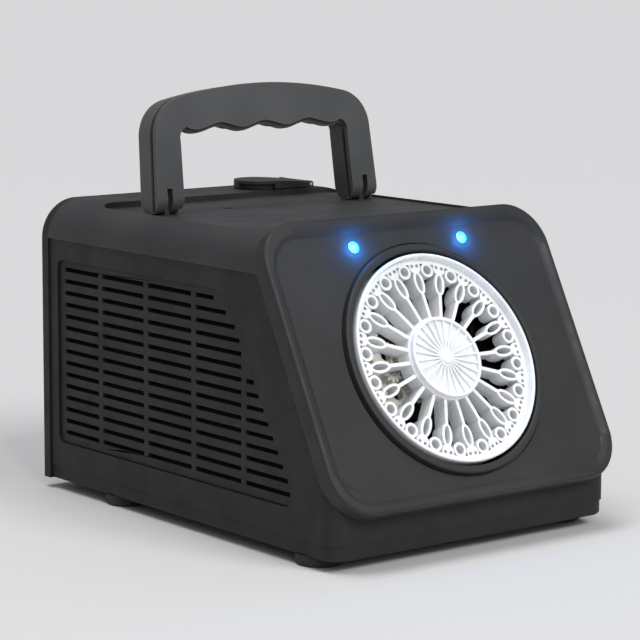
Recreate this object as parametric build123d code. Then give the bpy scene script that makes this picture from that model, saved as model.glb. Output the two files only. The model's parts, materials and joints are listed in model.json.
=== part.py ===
from build123d import *
import os
from math import acos, cos, pi, radians, sin, sqrt, tan

# A portable bubble machine. Millimetres; +Z is up and the front faces -Y.
# The origin is on the floor, under the middle of the case.

# ---- case ----
CASE_WIDTH = 169.0            # across the rounded top shell
CASE_TOP = 145.0              # height of the top face
CASE_REAR = 120.0
CASE_FRONT = -111.5           # front wall of the base
CORNER_RADIUS = 19.5          # long rounded edges of the top
WALL = 2.5
FOOT_HEIGHT = 5.0
BASE_TOP = 12.0               # seam between base tray and side walls
SHOULDER = 126.3              # seam between side walls and top shell
SIDE_STEP = 1.0               # side walls stand this far inside the top shell
COVER_FRONT = 113.0           # seam between side walls and rear cover
BASE_CORNER = 9.0             # upright front corners of walls and base

# ---- front panel ----
PANEL_WIDTH = 170.0
PANEL_LENGTH = 138.0          # measured up the slope
PANEL_TILT = 27.5             # degrees back from upright
PANEL_FOOT_Y = -120.0
PANEL_FOOT_Z = 26.0
PANEL_CORNER = 21.5
PANEL_DEPTH = 8.0             # rim face to the back of the skirt
PANEL_FIELD = 1.5             # field lies this far behind the rim face
FIELD_THICKNESS = 3.0
RIM_SIDE = 4.0
RIM_TOP = 6.0
RIM_BEVEL = 58.0              # slope of the rim's inner side, in degrees from upright

# ---- bubble wheel, in the frame of its own axis ----
WHEEL_UP_SLOPE = 66.5         # centre of the wheel above the panel's lower edge
WHEEL_RADIUS = 50.3
WHEEL_FRONT = 1.4             # front edge of the wheel, ahead of the rim face
LATTICE_FRONT = -2.2
HUB_FRONT = -1.6
WHEEL_BACK = -10.0
WHEEL_RIM = 1.7
PETALS = 20
PETAL_CENTRE = 37.2           # distance of each petal and loop from the wheel's axis
LOOP_CENTRE = 43.4
BEAD_CENTRE = 45.0
HUB_RADIUS = 20.0
HUB_RIBS = 24
SHAFT_RADIUS = 2.0
OPENING_RADIUS = 53.2
WELL_RADIUS = 51.8
COLLAR_RADIUS = 55.4
COLLAR_FRONT = 1.0
COLLAR_GAP = 1.2              # width and depth of the shadow groove round the collar

# ---- gear train ----
MODULE = 0.8
PRESSURE_ANGLE = 25.0
BACKLASH = 0.12
WHEEL_TEETH = 44
LARGE_TEETH = 40
SMALL_TEETH = 12
GEAR_PIN_RADIUS = 1.5
RUNNING_FIT = 0.05            # radial clearance of every turning fit
LAYER_A = (-17.0, -12.5)      # wheel gear and small end of gear two
LAYER_B = (-21.5, -17.5)      # large end of gear two and small end of gear one
LAYER_C = (-26.0, -22.0)      # large end of gear one and motor pinion
PLATE_FRONT = -27.0
PLATE_BACK = -30.0
GEAR_TWO_BEARING = 180.0      # degrees, seen from the front
GEAR_ONE_BEARING = 120.0
PINION_BEARING = 90.0
POSTS = ((-62.0, -14.0), (62.0, -14.0), (-62.0, 40.0), (62.0, 40.0))
POST_RADIUS = 4.0

# ---- fan, in the same frame ----
FAN_X = 24.0
FAN_UP = 24.0
FAN_RADIUS = 25.5
DUCT_RADIUS = 27.0
NOZZLE_RADIUS = 14.5
DUCT_WALL = 1.6
NOZZLE_FRONT = -18.5
NOZZLE_BACK = -33.0
CONE_BACK = -52.0
DUCT_BACK = -80.0
FAN_MOTOR_RADIUS = 10.0
DUCT_SCREW_CIRCLE = 20.9
SPIDER_SCREW_CIRCLE = 31.5

# ---- side vents ----
VENT_REAR = 106.0
VENT_TOP = 116.0
VENT_BOTTOM = 24.5
VENT_FRONT_TOP = -34.0
VENT_FRONT_BOTTOM = -90.0
VENT_RECESS = 1.2
VENT_FLANGE = 1.8
SLOT_ROWS = 15
SLOT_HEIGHT = 2.1
SLOT_FIRST = 111.6
SLOT_PITCH = 5.82
SLOT_MARGIN = 5.0
BAR_WIDTH = 3.6
BARS_Y = (70.0, 31.5, -7.0, -45.5)
BLADE_DEPTH = 3.2             # how far each louvre blade reaches inwards

# ---- handle ----
PIVOT_Y = 48.9
PIVOT_Z = 149.4
PIVOT_RADIUS = 2.0
KNUCKLE_X = 60.25             # middle of the post that stands inside each leg
KNUCKLE_HALF = 1.3
KNUCKLE_RADIUS = 4.2
KNUCKLE_GAP = 0.3
PIVOT_PIN = (54.0, 66.5)      # x range of each pivot pin
PIVOT_SOCKET = (53.8, 66.7)   # and of the blind hole it lies in
HANDLE_LEAN = 8.0             # degrees behind upright
HANDLE_THICKNESS = 14.5
SEAM_FRONT = -4.6             # the groove between the two halves of the handle
SEAM_BACK = -2.0
SEAM_DEPTH = 1.8
LEG_OUTER = 68.0
LEG_INNER = 52.5
HANDLE_RISE = 53.2            # pivot to the crown of the grip
HANDLE_SHOULDER = 44.0
HANDLE_CORNER = 19.0
GRIP_UNDER = 33.4
GRIP_CORNER = 26.6
FINGER_WAVE = 1.4
FINGER_PITCH = 27.0
HANDLE_SCREWS = ((-60.25, 15.0), (60.25, 15.0), (-30.0, 42.1), (30.0, 42.1))
RECESS_HALF = 73.0
RECESS_FRONT = -36.0
RECESS_REAR = 84.5
RECESS_FLOOR = 142.0
TOP_HOLE = (-18.5, 52.0)      # a small blind hole in the recess floor
TOP_HOLE_RADIUS = 2.6

# ---- filler lid ----
LID_HINGE_X = 60.0
LID_HINGE_Z = 146.8
LID_BARREL = 1.6
LID_PIN_RADIUS = 0.8
LID_RADIUS = 13.4             # round end of the lid, about the filler neck
LID_TOP = 149.6
LID_LIP = 1.4
SCOOP_LEFT = 21.0
SCOOP_RIGHT = 41.0
NECK_X = 36.4
NECK_Y = 98.6
NECK_RADIUS = 7.6
SEAL_INNER = 8.6
SEAL_OUTER = 10.6
LID_FRONT = NECK_Y - LID_RADIUS
LID_REAR = NECK_Y + LID_RADIUS

# ---- rear cover, batteries and switch ----
INTAKE_Z = 106.0
INTAKE_RADIUS = 27.0
SWITCH_X = -58.0
ROCKER_Y = 114.0              # pivot of the rocker
SOCKET_X = 58.0
CONTROL_Z = 104.0
DOOR_HALF = 51.6
DOOR_TOP = 69.6
DOOR_HINGE_Y = 116.5
DOOR_HINGE_Z = 17.0
DOOR_BARREL = 3.5
DOOR_GAP = 0.4
CELL_RADIUS = 13.1
CELL_LENGTH = 50.0
CELL_X = 26.0
CELL_Y = 101.6
CELL_LEVELS = (29.6, 56.4)
BOX_HALF = 56.5
BOX_FRONT = 85.0
BOX_BOTTOM = 14.0
BOX_TOP = 72.0

# ---- fasteners ----
SCREW_HEAD = 3.0
SCREW_HEAD_HEIGHT = 2.0
SCREW_SHANK = 1.25
PILOT = 1.3
CLEAR_HOLE = 1.7
SCREW_SIDE = 74.0
TOP_SCREWS_Y = (98.0, -42.0)
BASE_SCREWS_Y = (98.0, -62.0)
REAR_SCREWS = ((-76.0, 18.9), (76.0, 18.9), (-76.0, 121.0), (76.0, 121.0))
PANEL_SCREWS_UP = (26.0, 114.0)
FEET = ((-72.0, -88.0), (72.0, -88.0), (-72.0, 62.0), (72.0, 62.0))
FOOT_RADIUS = 11.0
DRAIN_Y = -80.0

LED_X = 32.5
LED_UP = 123.3
LED_RADIUS = 3.0

SLOPE = Plane(
    origin=(0, PANEL_FOOT_Y, PANEL_FOOT_Z),
    x_dir=(1, 0, 0),
    z_dir=(0, -cos(radians(PANEL_TILT)), sin(radians(PANEL_TILT))),
)
FRONT = SLOPE.location                        # x across, y up the slope, z outwards
AXIS = FRONT * Pos(0, WHEEL_UP_SLOPE, 0)      # the same, about the wheel's centre


# ---- building blocks ----

def block(x0, x1, y0, y1, z0, z1):
    """A box between two corners."""
    return Pos((x0 + x1) / 2, (y0 + y1) / 2, (z0 + z1) / 2) * Box(x1 - x0, y1 - y0, z1 - z0)


def rod(radius, z0, z1, x=0.0, y=0.0):
    """A cylinder along z."""
    return Pos(x, y, (z0 + z1) / 2) * Cylinder(radius, z1 - z0)


def tube(outer, inner, z0, z1, x=0.0, y=0.0):
    """A hollow cylinder along z."""
    return rod(outer, z0, z1, x, y) - rod(inner, z0 - 1, z1 + 1, x, y)


def rod_x(radius, x0, x1, y, z):
    """A cylinder along x."""
    return Pos((x0 + x1) / 2, y, z) * Rot(0, 90, 0) * Cylinder(radius, x1 - x0)


def rod_y(radius, y0, y1, x, z):
    """A cylinder along y."""
    return Pos(x, (y0 + y1) / 2, z) * Rot(90, 0, 0) * Cylinder(radius, y1 - y0)


def screw(length):
    """A pan-head screw: the shank runs up +z from the underside of its head."""
    return rod(SCREW_HEAD, -SCREW_HEAD_HEIGHT, 0) + rod(SCREW_SHANK, 0, length)


def prism_x(outline, x0, x1):
    """A face drawn as (y, z), carried across the case from x0 to x1."""
    return extrude(Plane.YZ.offset(x0) * outline, x1 - x0, dir=(1, 0, 0))


def prism_y(outline, y0, y1):
    """A face drawn as (x, z), carried through the case from y0 to y1."""
    section = Plane(origin=(0, y1, 0), x_dir=(1, 0, 0), z_dir=(0, -1, 0))
    return extrude(section * outline, y1 - y0, dir=(0, -1, 0))


def arch(half_width, z0, z1, radius, y0, y1):
    """A block with its two long top edges rounded."""
    outline = Pos(0, (z0 + z1) / 2) * Rectangle(2 * half_width, z1 - z0)
    outline = fillet(outline.vertices().sort_by(Axis.Y)[-2:], radius)
    return prism_y(outline, y0, y1)


def ahead_of_case():
    """Everything in front of the plane that the panel's skirt sits on."""
    return FRONT * block(-120, 120, -80, 260, -PANEL_DEPTH, 120)


def spaced(part, places):
    """Separate copies of one small part."""
    return [place * part for place in places]


def beside(sign, inner, outer):
    """The x range of a feature at one side of the case."""
    return (inner, outer) if sign > 0 else (-outer, -inner)


# ---- case ----

def panel_outline(inset=0.0, inset_top=None):
    """The panel's rounded outline, drawn smaller by an inset."""
    top = inset if inset_top is None else inset_top
    height = PANEL_LENGTH - inset - top
    centre = inset + height / 2
    return Pos(0, centre) * RectangleRounded(PANEL_WIDTH - 2 * inset, height, PANEL_CORNER - inset)


def front_panel():
    field_back = -PANEL_FIELD - FIELD_THICKNESS
    panel = extrude(panel_outline(), -PANEL_DEPTH)
    panel = fillet(panel.faces().sort_by(Axis.Z)[-1].edges(), 1.6)
    panel -= extrude(panel_outline(RIM_SIDE, RIM_TOP), -PANEL_FIELD, taper=RIM_BEVEL)
    hollow = extrude(panel_outline(3.0), field_back + PANEL_DEPTH)
    panel -= Pos(0, 0, -PANEL_DEPTH) * hollow
    for sign in (-1, 1):
        for up in PANEL_SCREWS_UP:
            panel += rod(4, -12, field_back, sign * SCREW_SIDE, up)
        panel += rod(3, -10.4, field_back, sign * 20.0, LED_UP)
    for x, up in POSTS:
        panel += rod(POST_RADIUS, -12, field_back, x, up + WHEEL_UP_SLOPE)
    panel -= rod(OPENING_RADIUS, -20, 20, 0, WHEEL_UP_SLOPE)
    groove_floor = -PANEL_FIELD - COLLAR_GAP
    panel -= tube(COLLAR_RADIUS + COLLAR_GAP, COLLAR_RADIUS, groove_floor, 0, 0, WHEEL_UP_SLOPE)
    for sign in (-1, 1):
        for up in PANEL_SCREWS_UP:
            panel -= rod(PILOT, -13, -5, sign * SCREW_SIDE, up)
        panel -= rod(LED_RADIUS, -20, 20, sign * LED_X, LED_UP)
        panel -= rod(PILOT, -11, -5, sign * 20.0, LED_UP)
    for x, up in POSTS:
        panel -= rod(PILOT, -13, -5, x, up + WHEEL_UP_SLOPE)
    return FRONT * panel


def wheel_collar():
    ring = tube(COLLAR_RADIUS, WELL_RADIUS, -PANEL_FIELD, COLLAR_FRONT)
    ring = fillet(ring.edges().filter_by(GeomType.CIRCLE).group_by(Axis.Z)[-1], 0.9)
    return AXIS * ring


def handle_posts():
    """The two round-topped posts that carry the handle."""
    posts = []
    for sign in (-1, 1):
        x0, x1 = beside(sign, KNUCKLE_X - KNUCKLE_HALF, KNUCKLE_X + KNUCKLE_HALF)
        y0, y1 = PIVOT_Y - KNUCKLE_RADIUS, PIVOT_Y + KNUCKLE_RADIUS
        post = block(x0, x1, y0, y1, RECESS_FLOOR - 1, PIVOT_Z)
        post += rod_x(KNUCKLE_RADIUS, x0, x1, PIVOT_Y, PIVOT_Z)
        posts.append(post - rod_x(PIVOT_RADIUS, x0 - 1, x1 + 1, PIVOT_Y, PIVOT_Z))
    return posts


def top_shell():
    outer = arch(CASE_WIDTH / 2, 90, CASE_TOP, CORNER_RADIUS, CASE_FRONT, COVER_FRONT)
    inner = arch(
        CASE_WIDTH / 2 - WALL, 89, CASE_TOP - WALL, CORNER_RADIUS - WALL,
        CASE_FRONT - 1, COVER_FRONT + 1,
    )
    shell = outer - inner
    pan = block(
        -RECESS_HALF - WALL, RECESS_HALF + WALL,
        RECESS_FRONT - WALL, RECESS_REAR + WALL,
        RECESS_FLOOR - WALL, CASE_TOP,
    )
    shell += pan & outer
    for sign in (-1, 1):
        for y in TOP_SCREWS_Y:
            shell += rod(4, SHOULDER, CASE_TOP - 2, sign * SCREW_SIDE, y) & outer
    length = RECESS_REAR - RECESS_FRONT
    recess = Pos(0, (RECESS_REAR + RECESS_FRONT) / 2, RECESS_FLOOR) * extrude(
        RectangleRounded(2 * RECESS_HALF, length, 7.0), 20
    )
    shell -= recess
    shell -= ahead_of_case()
    shell -= block(-100, 100, -130, 130, 80, SHOULDER)
    for sign in (-1, 1):
        for y in TOP_SCREWS_Y:
            shell -= rod(PILOT, SHOULDER - 1, SHOULDER + 12, sign * SCREW_SIDE, y)
    shell += handle_posts() + lid_lugs()
    shell -= rod(NECK_RADIUS, 130, 160, NECK_X, NECK_Y)
    shell -= finger_scoop()
    shell += rod(TOP_HOLE_RADIUS + 2, RECESS_FLOOR - 10, RECESS_FLOOR - WALL, *TOP_HOLE)
    return shell - rod(TOP_HOLE_RADIUS, RECESS_FLOOR - 8, CASE_TOP, *TOP_HOLE)


def finger_scoop():
    """The hollow in the recess's rear wall, in front of the lid's round end, for lifting it."""
    front = RECESS_REAR - 3.7
    rear = RECESS_REAR + WALL - 0.6
    outline = Pos((SCOOP_LEFT + SCOOP_RIGHT) / 2, (front + rear) / 2) * RectangleRounded(
        SCOOP_RIGHT - SCOOP_LEFT, rear - front, 2.0
    )
    return Pos(0, 0, RECESS_FLOOR) * extrude(outline, CASE_TOP + 1 - RECESS_FLOOR)


def lid_lugs():
    """Two lugs on the top face that carry the lid's hinge pin."""
    lugs = []
    for y0, y1 in ((LID_FRONT + 0.3, LID_FRONT + 4.0), (LID_REAR - 4.0, LID_REAR - 0.3)):
        x0, x1 = LID_HINGE_X - LID_BARREL, LID_HINGE_X + LID_BARREL
        lug = rod_y(LID_BARREL, y0, y1, LID_HINGE_X, LID_HINGE_Z)
        lug += block(x0, x1, y0, y1, CASE_TOP - 1, LID_HINGE_Z)
        lugs.append(lug - rod_y(LID_PIN_RADIUS, y0 - 1, y1 + 1, LID_HINGE_X, LID_HINGE_Z))
    return lugs


def side_wall(sign):
    """One side wall with its screw tabs, bosses and vent opening."""
    face = CASE_WIDTH / 2 - SIDE_STEP
    x0, x1 = beside(sign, face - WALL, face)
    wall = block(x0, x1, CASE_FRONT, COVER_FRONT, BASE_TOP, SHOULDER)
    vent_x = beside(sign, face - WALL - 1, face + 1)
    wall -= prism_x(vent_outline(), *vent_x)
    inner = beside(sign, 69.5, face - WALL)
    for y in TOP_SCREWS_Y:
        wall += block(*inner, y - 5, y + 5, SHOULDER - 7, SHOULDER)
    for y in BASE_SCREWS_Y:
        wall += block(*inner, y - 5, y + 5, BASE_TOP + 3.2, 22.0)
    for x, z in REAR_SCREWS:
        if x * sign > 0:
            wall += block(*inner, COVER_FRONT - 8, COVER_FRONT, z - 3.7, z + 3.7)
    return wall


def front_wall():
    """The short upright wall under the front panel, with rounded corners."""
    half = CASE_WIDTH / 2 - SIDE_STEP
    depth = 60.0
    outline = Rectangle(2 * half, depth)
    outline = fillet(outline.vertices().sort_by(Axis.Y)[:2], BASE_CORNER)
    hollow = Pos(0, WALL) * Rectangle(2 * (half - WALL), depth)
    hollow = fillet(hollow.vertices().sort_by(Axis.Y)[:2], BASE_CORNER - WALL)
    ring = extrude(outline - hollow, SHOULDER - BASE_TOP)
    ring = Pos(0, CASE_FRONT + depth / 2, BASE_TOP) * ring
    return ring & block(-100, 100, CASE_FRONT, CASE_FRONT + BASE_CORNER, BASE_TOP, SHOULDER)


def side_housing():
    wall = front_wall()
    square_corner = block(-100, 100, CASE_FRONT, CASE_FRONT + BASE_CORNER, 0, 200)
    for sign in (-1, 1):
        wall += side_wall(sign) - square_corner
    wall -= ahead_of_case()
    for sign in (-1, 1):
        tab_x = beside(sign, 69.5, CASE_WIDTH / 2 - SIDE_STEP - WALL)
        for up in PANEL_SCREWS_UP:
            wall += FRONT * block(*tab_x, up - 5, up + 5, -15, -12)
            wall -= FRONT * rod(CLEAR_HOLE, -16, -11, sign * SCREW_SIDE, up)
        for y in TOP_SCREWS_Y:
            wall -= rod(CLEAR_HOLE, SHOULDER - 8, SHOULDER + 1, sign * SCREW_SIDE, y)
        for y in BASE_SCREWS_Y:
            wall -= rod(PILOT, BASE_TOP, 21, sign * SCREW_SIDE, y)
    for x, z in REAR_SCREWS:
        wall -= rod_y(PILOT, COVER_FRONT - 7, COVER_FRONT + 1, x, z)
    return wall


def base_outline(half, front, rear, corner):
    """A plan outline with its two front corners rounded."""
    outline = Pos(0, (front + rear) / 2) * Rectangle(2 * half, rear - front)
    return fillet(outline.vertices().sort_by(Axis.Y)[:2], corner)


def base_tray():
    half = CASE_WIDTH / 2 - SIDE_STEP - 0.5
    front = CASE_FRONT + 0.5
    tray = Pos(0, 0, FOOT_HEIGHT) * extrude(
        base_outline(half, front, COVER_FRONT, BASE_CORNER), BASE_TOP - FOOT_HEIGHT
    )
    tray = chamfer(tray.faces().sort_by(Axis.Z)[0].edges().filter_by(Axis.Y), 1.0)
    lip_half = CASE_WIDTH / 2 - SIDE_STEP - WALL - 0.2
    lip_front = CASE_FRONT + WALL + 0.2
    tray += Pos(0, 0, BASE_TOP) * extrude(
        base_outline(lip_half, lip_front, COVER_FRONT, BASE_CORNER - WALL), 3.0
    )
    tray -= Pos(0, 0, FOOT_HEIGHT + WALL) * extrude(
        base_outline(lip_half - 2.0, lip_front + 2.0, COVER_FRONT + 9, BASE_CORNER - WALL - 2), 40
    )
    for sign in (-1, 1):
        for y in BASE_SCREWS_Y:
            tray += rod(5, FOOT_HEIGHT, BASE_TOP + 3.2, sign * SCREW_SIDE, y)
            tray -= rod(CLEAR_HOLE, 0, 40, sign * SCREW_SIDE, y)
            tray -= rod(SCREW_HEAD + 0.4, 0, FOOT_HEIGHT + 5, sign * SCREW_SIDE, y)
    for x, y in FEET:
        tray -= rod(4.0, 0, 20, x, y)
    tray -= rod(8.2, 0, 20, 0, DRAIN_Y)
    for x in (-40, 40):
        tray += block(x - 2, x + 2, 88, 110, FOOT_HEIGHT + WALL, BOX_BOTTOM)
        tray += block(x - 2, x + 2, -96, -60, FOOT_HEIGHT + WALL, 12)
    return tray


def rubber_feet():
    foot = rod(FOOT_RADIUS, 0, FOOT_HEIGHT)
    foot = fillet(foot.edges().filter_by(GeomType.CIRCLE).group_by(Axis.Z)[0], 1.2)
    foot += rod(4.0, FOOT_HEIGHT, FOOT_HEIGHT + WALL)
    foot += rod(4.8, FOOT_HEIGHT + WALL, FOOT_HEIGHT + WALL + 1.5)
    return spaced(foot, [Pos(x, y, 0) for x, y in FEET])


def vent_outline(grow=0.0):
    """The rounded four-sided vent area, drawn as (y, z)."""
    corners = [
        (VENT_REAR, VENT_TOP),
        (VENT_REAR, VENT_BOTTOM),
        (VENT_FRONT_BOTTOM, VENT_BOTTOM),
        (VENT_FRONT_TOP, VENT_TOP),
    ]
    face = Polygon(*corners, align=None)
    rear = face.vertices().sort_by(Axis.X)[-2:]
    face = fillet(rear, 4.0)
    top_front = [v for v in face.vertices() if abs(v.X - VENT_FRONT_TOP) < 1e-3]
    face = fillet(top_front, 16.0)
    bottom_front = [v for v in face.vertices() if abs(v.X - VENT_FRONT_BOTTOM) < 1e-3]
    face = fillet(bottom_front, 8.0)
    return offset(face, grow) if grow else face


def slot_row(row):
    """Height and front end of one row of louvre slots."""
    lean = (VENT_FRONT_TOP - VENT_FRONT_BOTTOM) / (VENT_TOP - VENT_BOTTOM)
    z = SLOT_FIRST - row * SLOT_PITCH
    corner_relief = {0: 9.0, 1: 3.0, SLOT_ROWS - 1: 2.0}
    front = VENT_FRONT_BOTTOM + (z - VENT_BOTTOM) * lean + SLOT_MARGIN + corner_relief.get(row, 0.0)
    return z, front


def vent_slots():
    """Rows of louvre slots, broken by the upright bars, as (y, z) rectangles."""
    slots = []
    for row in range(SLOT_ROWS):
        z, row_front = slot_row(row)
        ends = [VENT_REAR - SLOT_MARGIN]
        for bar in BARS_Y:
            ends += [bar + BAR_WIDTH / 2, bar - BAR_WIDTH / 2]
        ends.append(row_front)
        for rear, front in zip(ends[0::2], ends[1::2]):
            front = max(front, row_front)
            if rear - front > 4.0:
                slots.append(Pos((rear + front) / 2, z) * Rectangle(rear - front, SLOT_HEIGHT))
    return slots


def louvre_blades(sign, inner):
    """A blade behind each row, sloping up inwards, so that nobody can see straight in."""
    blades = []
    for row in range(SLOT_ROWS):
        z, front = slot_row(row)
        foot = z - SLOT_HEIGHT / 2
        head = z + SLOT_HEIGHT / 2
        profile = Polygon(
            (sign * (inner + 0.4), foot - 1.0),
            (sign * (inner + 0.4), foot - 0.1),
            (sign * (inner - BLADE_DEPTH), head + 0.6),
            (sign * (inner - BLADE_DEPTH), head - 0.4),
            align=None,
        )
        blades.append(prism_y(profile, front, VENT_REAR - SLOT_MARGIN))
    return blades


def side_grille(sign):
    """A louvred insert that sits in one side wall, held by its inner flange."""
    wall_inner = CASE_WIDTH / 2 - SIDE_STEP - WALL
    wall_outer = wall_inner + WALL
    inner = wall_inner - 1.4
    flange = prism_x(vent_outline(VENT_FLANGE), *beside(sign, inner, wall_inner))
    plate = prism_x(vent_outline(-0.25), *beside(sign, inner, wall_outer - VENT_RECESS))
    grille = flange + plate
    grille -= [prism_x(slot, *beside(sign, wall_inner - 3, wall_outer + 1)) for slot in vent_slots()]
    return grille + louvre_blades(sign, inner)


def rear_cover():
    half = CASE_WIDTH / 2
    cover = arch(half, FOOT_HEIGHT, CASE_TOP, CORNER_RADIUS, COVER_FRONT, CASE_REAR)
    cover = fillet(cover.faces().sort_by(Axis.Y)[-1].edges(), 2.4)
    cover -= arch(
        half - WALL, FOOT_HEIGHT + WALL, CASE_TOP - WALL, CORNER_RADIUS - WALL,
        COVER_FRONT - 1, CASE_REAR - WALL,
    )
    for x, z in REAR_SCREWS:
        cover += rod_y(5, COVER_FRONT, CASE_REAR - 1, x, z)
    for x, z in REAR_SCREWS:
        cover -= rod_y(CLEAR_HOLE, COVER_FRONT - 1, CASE_REAR + 1, x, z)
        cover -= rod_y(SCREW_HEAD + 0.4, CASE_REAR - 4, CASE_REAR + 1, x, z)
    cover -= intake_slots()
    cover -= block(SWITCH_X - 6.6, SWITCH_X + 6.6, 110, 130, CONTROL_Z - 9.8, CONTROL_Z + 9.8)
    cover -= rod_y(4.5, 110, 130, SOCKET_X, CONTROL_Z)
    door_bottom = DOOR_HINGE_Z - DOOR_BARREL - DOOR_GAP
    door_half = DOOR_HALF + DOOR_GAP
    cover -= block(-door_half, door_half, 116, 130, door_bottom, DOOR_TOP + DOOR_GAP)
    for sign in (-1, 1):
        lug_x = beside(sign, door_half, door_half + 4)
        cover += block(*lug_x, COVER_FRONT, CASE_REAR - 1, DOOR_HINGE_Z - 3, DOOR_HINGE_Z + 3)
    cover -= rod_x(1.0, -DOOR_HALF - 3, DOOR_HALF + 3, DOOR_HINGE_Y, DOOR_HINGE_Z)
    return cover


def intake_slots():
    """Level slots that fill a circle in the rear cover."""
    slots = []
    for row in range(-4, 5):
        z = row * SLOT_PITCH
        half = sqrt(INTAKE_RADIUS ** 2 - z ** 2)
        for sign in (-1, 1):
            x0, x1 = beside(sign, BAR_WIDTH / 2, half)
            slots.append(block(x0, x1, 110, 130, INTAKE_Z + z - 1.3, INTAKE_Z + z + 1.3))
    return slots


# ---- handle ----

def handle_outline(inset=0.0):
    """The front view of the handle about its pivot, drawn smaller by an inset."""
    foot = -HANDLE_THICKNESS / 2
    left = (-LEG_OUTER + inset, foot)
    right = (LEG_OUTER - inset, foot)
    shoulder = HANDLE_SHOULDER - inset
    top_left = (-LEG_OUTER + 3 + inset, shoulder)
    top_right = (LEG_OUTER - 3 - inset, shoulder)
    crown = (0, HANDLE_RISE - inset)
    outer = make_face([
        Line(left, top_left),
        ThreePointArc(top_left, crown, top_right),
        Line(top_right, right),
        Line(right, left),
    ])
    top_corners = outer.vertices().sort_by(Axis.Y)[-2:]
    outer = fillet(top_corners, HANDLE_CORNER - inset)
    return outer - grip_opening(inset)


def grip_opening(inset):
    """The hand opening, with finger waves along the underside of the grip."""
    inner = LEG_INNER + inset
    low = -HANDLE_THICKNESS
    corner = GRIP_CORNER - inset
    end = 1.75 * FINGER_PITCH
    wave = []
    for step in range(-7, 8):
        x = step * FINGER_PITCH / 4
        wave.append((x, GRIP_UNDER - inset + FINGER_WAVE * cos(2 * pi * x / FINGER_PITCH)))
    top_x = inner - 1.0
    bend = ((top_x + end) / 2 + 1.2, (corner + GRIP_UNDER - inset) / 2 + 1.2)
    edges = [
        Line((-inner, low), (-top_x, corner)),
        ThreePointArc((-top_x, corner), (-bend[0], bend[1]), wave[0]),
        Spline(*wave),
        ThreePointArc(wave[-1], bend, (top_x, corner)),
        Line((top_x, corner), (inner, low)),
        Line((inner, low), (-inner, low)),
    ]
    return make_face(edges)


def handle_slab(y0, y1, inset):
    """A slice of the handle between two depths, round about its pivot."""
    slab = prism_y(handle_outline(inset), y0, y1)
    half = HANDLE_THICKNESS / 2
    slab &= block(-80, 80, -half, half, 0, 80) + rod_x(half, -80, 80, 0, 0)
    for sign in (-1, 1):
        slab -= rod_x(PIVOT_RADIUS + RUNNING_FIT, *beside(sign, *PIVOT_SOCKET), 0, 0)
        slab -= knuckle_slot(sign)
    return slab


def knuckle_slot(sign):
    """The slot in a leg that clears its post while the handle swings forward."""
    reach = KNUCKLE_HALF + KNUCKLE_GAP
    x0, x1 = beside(sign, KNUCKLE_X - reach, KNUCKLE_X + reach)
    clear = KNUCKLE_RADIUS + KNUCKLE_GAP
    lean_room = HANDLE_THICKNESS / 2 * sin(radians(HANDLE_LEAN))
    slot = rod_x(clear, x0, x1, 0, 0)
    slot += block(x0, x1, -HANDLE_THICKNESS, clear + lean_room, -HANDLE_THICKNESS, 0)
    return slot + block(x0, x1, -HANDLE_THICKNESS, 0, -clear, clear)


def place_handle(piece):
    return Pos(0, PIVOT_Y, PIVOT_Z) * Rot(-HANDLE_LEAN, 0, 0) * piece


def handle_front():
    half = handle_slab(-HANDLE_THICKNESS / 2, SEAM_FRONT, 0.0)
    for x, z in HANDLE_SCREWS:
        half -= rod_y(PILOT, -6.6, 0, x, z)
    return place_handle(half)


def handle_rear():
    half = handle_slab(SEAM_BACK, HANDLE_THICKNESS / 2, 0.0)
    half += handle_slab(SEAM_FRONT, SEAM_BACK, SEAM_DEPTH)
    for x, z in HANDLE_SCREWS:
        half -= rod_y(CLEAR_HOLE, SEAM_FRONT - 1, 8, x, z)
        half -= rod_y(SCREW_HEAD + 0.2, 4, 8, x, z)
    return place_handle(half)


def handle_screws():
    places = [Pos(x, 4, z) * Rot(90, 0, 0) for x, z in HANDLE_SCREWS]
    return [place_handle(place * screw(10.4)) for place in places]


def handle_pivots():
    return [rod_x(PIVOT_RADIUS, *beside(sign, *PIVOT_PIN), PIVOT_Y, PIVOT_Z) for sign in (-1, 1)]


# ---- filler ----

def filler_lid():
    """A flap with a round free end, whose top slopes down towards its hinge."""
    under = CASE_TOP + 0.6
    end = LID_HINGE_X - LID_BARREL - 0.9
    end_top = LID_HINGE_Z + LID_BARREL - 0.2
    left = NECK_X - LID_RADIUS
    outline = make_face([
        Line((left, under), (left, LID_TOP)),
        Line((left, LID_TOP), (NECK_X, LID_TOP)),
        Spline((NECK_X, LID_TOP), (end, end_top), tangents=((1, 0), (1, -0.08))),
        Line((end, end_top), (end, under)),
        Line((end, under), (left, under)),
    ])
    plan = rod(LID_RADIUS, under, LID_TOP, NECK_X, NECK_Y)
    plan += block(NECK_X, end, LID_FRONT, LID_REAR, under, LID_TOP)
    lid = prism_y(outline, LID_FRONT, LID_REAR) & plan
    grip = block(left - 1, NECK_X, LID_FRONT - 1, NECK_Y, under - 1, LID_TOP - LID_LIP)
    lid -= grip & tube(LID_RADIUS + 1, SEAL_OUTER + 0.4, under - 1, LID_TOP, NECK_X, NECK_Y)
    lid -= tube(SEAL_OUTER, SEAL_INNER, under - 1, under + 0.6, NECK_X, NECK_Y)
    y0 = LID_FRONT + 4.3
    y1 = LID_REAR - 4.3
    lid += rod_y(LID_BARREL - 0.1, y0, y1, LID_HINGE_X, LID_HINGE_Z)
    lid += block(end - 0.5, LID_HINGE_X, y0, y1, LID_HINGE_Z, end_top - 0.2)
    return lid - rod_y(LID_PIN_RADIUS + RUNNING_FIT, y0 - 1, y1 + 1, LID_HINGE_X, LID_HINGE_Z)


def lid_seal():
    return tube(SEAL_OUTER, SEAL_INNER, CASE_TOP + 0.05, CASE_TOP + 1.2, NECK_X, NECK_Y)


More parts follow.
